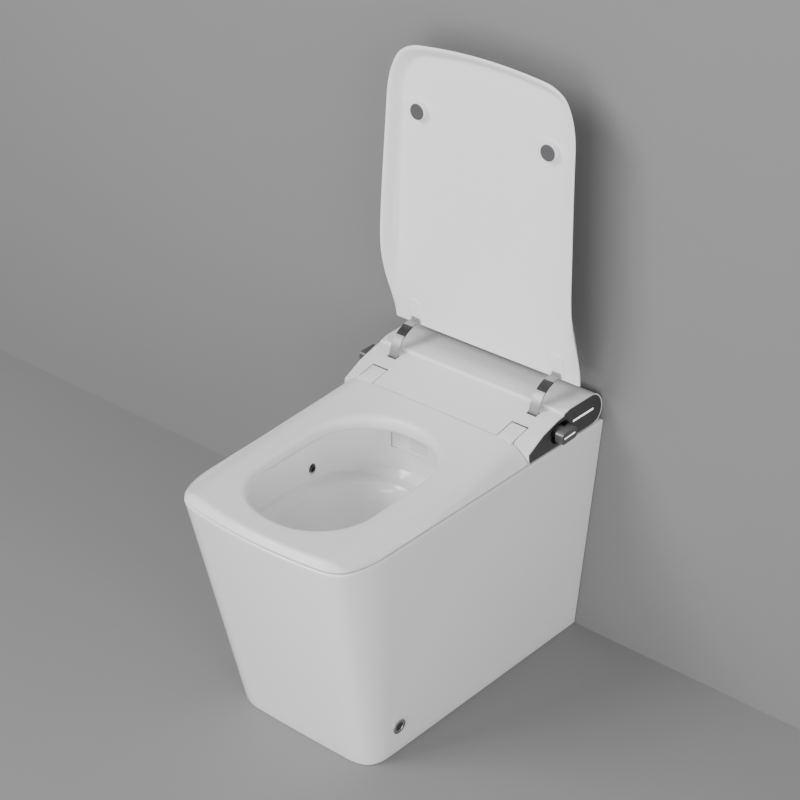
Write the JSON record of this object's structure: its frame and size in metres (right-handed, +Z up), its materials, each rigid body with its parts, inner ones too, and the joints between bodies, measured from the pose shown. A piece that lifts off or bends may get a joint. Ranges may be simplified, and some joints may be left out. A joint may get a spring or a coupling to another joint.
{
  "type": "smart toilet with electric bidet seat",
  "caption": "One-piece smart toilet: skirted ceramic pan with its electric bidet seat, heated ring on hinges, raised lid, spray wand behind a small door, side knobs and foot sensor.",
  "frame": {"origin": "on the floor under the centre of the bounding box", "axes": "+Z up, +Y to the wall behind, -Y to the front of the bowl, +X towards the side with the foot sensor"},
  "size_m": [0.41, 0.6079, 0.996],
  "materials": {
    "ceramic": "gloss",
    "housing_white": "satin gloss",
    "seat_white": "satin gloss",
    "nozzle_white": "gloss",
    "panel_black": "gloss",
    "light_white": "lit",
    "knob_grey": "satin",
    "strap_metal": "polished",
    "buffer_rubber": "matte",
    "seal_rubber": "matte",
    "steel": "satin",
    "inner_plastic": "matte",
    "motor_steel": "plain",
    "foil": "plain",
    "board_green": "matte",
    "brass": "machined",
    "sensor_ring": "polished",
    "sensor_lens": "gloss"
  },
  "bodies": {
    "toilet": {"air_duct": "inner_plastic", "cable_gland": "seal_rubber", "ceramic_pan": "ceramic", "chassis": "inner_plastic", "chassis_screws": "steel", "control_board": "board_green", "control_box": "inner_plastic", "fan_housing": "inner_plastic", "fan_motor": "motor_steel", "foot_sensor_lens": "sensor_lens", "foot_sensor_ring": "sensor_ring", "heater_tank": "inner_plastic", "housing_shell": "housing_white", "inlet_valve": "inner_plastic", "knob_cup_left": "panel_black", "knob_cup_right": "panel_black", "knob_switch_left": "inner_plastic", "knob_switch_right": "inner_plastic", "lid_bracket_left": "steel", "lid_bracket_right": "steel", "lid_damper_left": "inner_plastic", "lid_damper_right": "inner_plastic", "light_lines": "light_white", "nozzle_housing": "housing_white", "nozzle_motor": "motor_steel", "outlet_seal": "seal_rubber", "rinse_jet": "inner_plastic", "seat_bracket_left": "inner_plastic", "seat_bracket_right": "inner_plastic", "seat_damper_left": "inner_plastic", "seat_damper_right": "inner_plastic", "side_panel_left": "panel_black", "side_panel_right": "panel_black", "wand_guide": "inner_plastic", "water_inlet": "brass", "water_pump": "inner_plastic"},
    "lid": {"hinge_strap_left": "strap_metal", "hinge_strap_right": "strap_metal", "lid_bumpers": "buffer_rubber", "lid_pin_left": "steel", "lid_pin_right": "steel", "lid_shell": "housing_white"},
    "seat": {"seat_base": "seat_white", "seat_buffers": "buffer_rubber", "seat_heater": "foil", "seat_pin_left": "steel", "seat_pin_right": "steel", "seat_top": "seat_white"},
    "wand": {"nozzle_cap": "nozzle_white", "nozzle_tip": "nozzle_white", "spray_wand": "nozzle_white", "wand_rack": "inner_plastic"},
    "pinion": {"nozzle_pinion": "inner_plastic"},
    "knob_stem_right": {"knob_shaft_right": "steel"},
    "knob_stem_left": {"knob_shaft_left": "steel"},
    "knob_head_right": {"knob_line_right": "light_white", "knob_right": "knob_grey"},
    "knob_head_left": {"knob_left": "knob_grey", "knob_line_left": "light_white"},
    "fan": {"fan_wheel": "inner_plastic"}
  },
  "joints": [
    {"name": "lid_hinge", "type": "hinge", "parent": "toilet", "child": "lid", "pos_m": [0, 0.2358, 0.4548], "axis": [1, 0, 0], "range_deg": [0, 90.5]},
    {"name": "seat_hinge", "type": "hinge", "parent": "toilet", "child": "seat", "pos_m": [0, 0.146, 0.447], "axis": [1, 0, 0], "range_deg": [-88, 0]},
    {"name": "wand_slide", "type": "slide", "parent": "toilet", "child": "wand", "axis": [0, -0.9781, -0.2079], "range_m": [0, 0.118]},
    {"name": "pinion_spin", "type": "hinge", "parent": "toilet", "child": "pinion", "pos_m": [0, 0.1329, 0.42567], "axis": [1, 0, 0], "range_deg": [-775, 0]},
    {"name": "fan_spin", "type": "hinge", "parent": "toilet", "child": "fan", "pos_m": [0.09, 0.225, 0.441], "axis": [0, 0, 1], "continuous": true},
    {"name": "knob_push_right", "type": "slide", "parent": "toilet", "child": "knob_stem_right", "axis": [-1, 0, 0], "range_m": [0, 0.002], "stiffness_N_per_m": 900},
    {"name": "knob_turn_right", "type": "hinge", "parent": "knob_stem_right", "child": "knob_head_right", "pos_m": [0.18, 0.196, 0.4415], "axis": [1, 0, 0], "range_deg": [-30, 30], "stiffness_Nm_per_rad": 0.06},
    {"name": "knob_push_left", "type": "slide", "parent": "toilet", "child": "knob_stem_left", "axis": [1, 0, 0], "range_m": [0, 0.002], "stiffness_N_per_m": 900},
    {"name": "knob_turn_left", "type": "hinge", "parent": "knob_stem_left", "child": "knob_head_left", "pos_m": [-0.18, 0.196, 0.4415], "axis": [-1, 0, 0], "range_deg": [-30, 30], "stiffness_Nm_per_rad": 0.06}
  ],
  "couplings": [
    {"joint": "pinion_spin", "follows": "wand_slide", "rad_per_m": -114.29}
  ]
}
